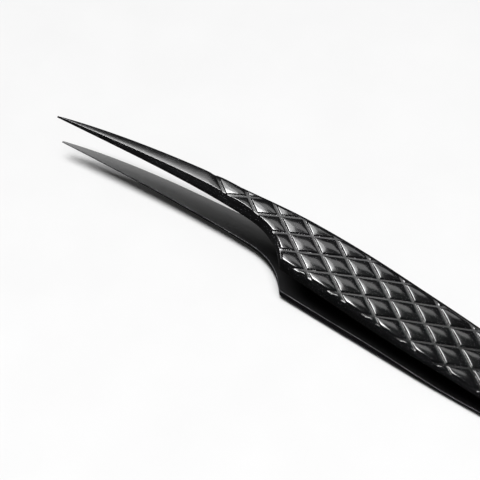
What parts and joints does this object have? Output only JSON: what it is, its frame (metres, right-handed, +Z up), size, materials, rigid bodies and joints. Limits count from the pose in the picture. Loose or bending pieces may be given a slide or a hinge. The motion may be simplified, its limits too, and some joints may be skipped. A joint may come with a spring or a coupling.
{
  "type": "tweezers",
  "caption": "Fine-point tweezers with side-swept tips and a diamond-cut grip: two sprung steel arms welded at the tail close on each other.",
  "frame": {"origin": "centre of the bounding box at its lowest level, where the tweezers rest on a table on the belly of the lower arm and the edge of the tail", "axes": "+X along the arms towards the tail, -Y the notched near side to which the tips sweep, +Z up"},
  "size_m": [0.13, 0.011, 0.0122],
  "materials": {
    "black_steel": "gloss black coating over spring steel",
    "weld_steel": "bare fused steel"
  },
  "bodies": {
    "root": {"upper_tail_leaf": "black_steel", "lower_tail_leaf": "black_steel", "weld_spots": "weld_steel"},
    "upper_arm": {"upper_arm": "black_steel"},
    "lower_arm": {"lower_arm": "black_steel"}
  },
  "joints": [
    {"name": "upper_arm_flex", "type": "hinge", "parent": "root", "child": "upper_arm", "pos_m": [0.03909, 0, 0.004], "axis": [0, -1, 0], "range_deg": [0, 1.8], "stiffness_Nm_per_rad": 1.6, "springref_deg": -0.23},
    {"name": "lower_arm_flex", "type": "hinge", "parent": "root", "child": "lower_arm", "pos_m": [0.03893, 0, 0.00121], "axis": [0, 1, 0], "range_deg": [0, 1.8], "stiffness_Nm_per_rad": 1.6, "springref_deg": -0.23}
  ]
}
